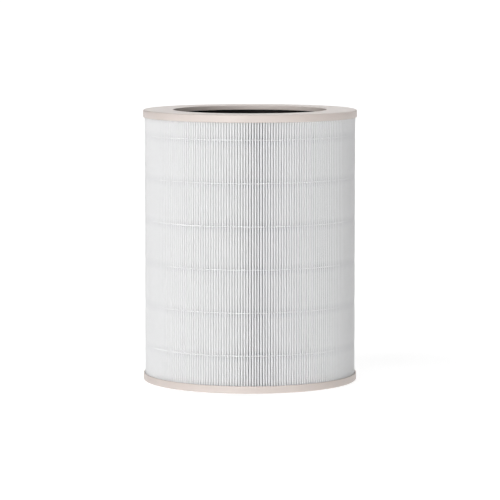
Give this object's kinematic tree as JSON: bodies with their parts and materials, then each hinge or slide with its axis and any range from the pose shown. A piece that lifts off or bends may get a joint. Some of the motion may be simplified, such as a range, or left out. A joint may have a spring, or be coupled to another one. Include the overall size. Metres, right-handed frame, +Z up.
{
  "type": "cylindrical air filter cartridge",
  "caption": "Drum-shaped replacement filter for a room air purifier: white pleated media and a carbon sleeve between two ring end caps round an open bore.",
  "frame": {"origin": "centre of the bottom end cap's flat face, on the surface the cartridge stands on", "axes": "+Z up along the cartridge's axis; the pleats' bonded seam is at the back, on +Y"},
  "size_m": [0.215, 0.215, 0.273],
  "materials": {
    "cap_plastic": "satin",
    "filter_media": "matte",
    "hot_melt": "satin",
    "potting_adhesive": "satin",
    "core_plastic": "satin",
    "black_net": "matte",
    "carbon_cloth": "matte",
    "scrim": "matte",
    "gasket_foam": "matte"
  },
  "bodies": {
    "root": {"bottom_end_cap": "cap_plastic", "top_end_cap": "cap_plastic", "bottom_gasket": "gasket_foam", "bottom_potting": "potting_adhesive", "top_potting": "potting_adhesive", "pleated_media": "filter_media", "media_seam_bond": "hot_melt", "outer_bead_1": "hot_melt", "outer_bead_2": "hot_melt", "outer_bead_3": "hot_melt", "outer_bead_4": "hot_melt", "outer_bead_5": "hot_melt", "outer_bead_6": "hot_melt", "inner_bead_1": "hot_melt", "inner_bead_2": "hot_melt", "inner_bead_3": "hot_melt", "inner_bead_4": "hot_melt", "inner_bead_5": "hot_melt", "inner_bead_6": "hot_melt", "core_cage": "core_plastic", "core_net": "black_net", "carbon_sleeve": "carbon_cloth", "carbon_scrim": "scrim"}
  },
  "joints": []
}
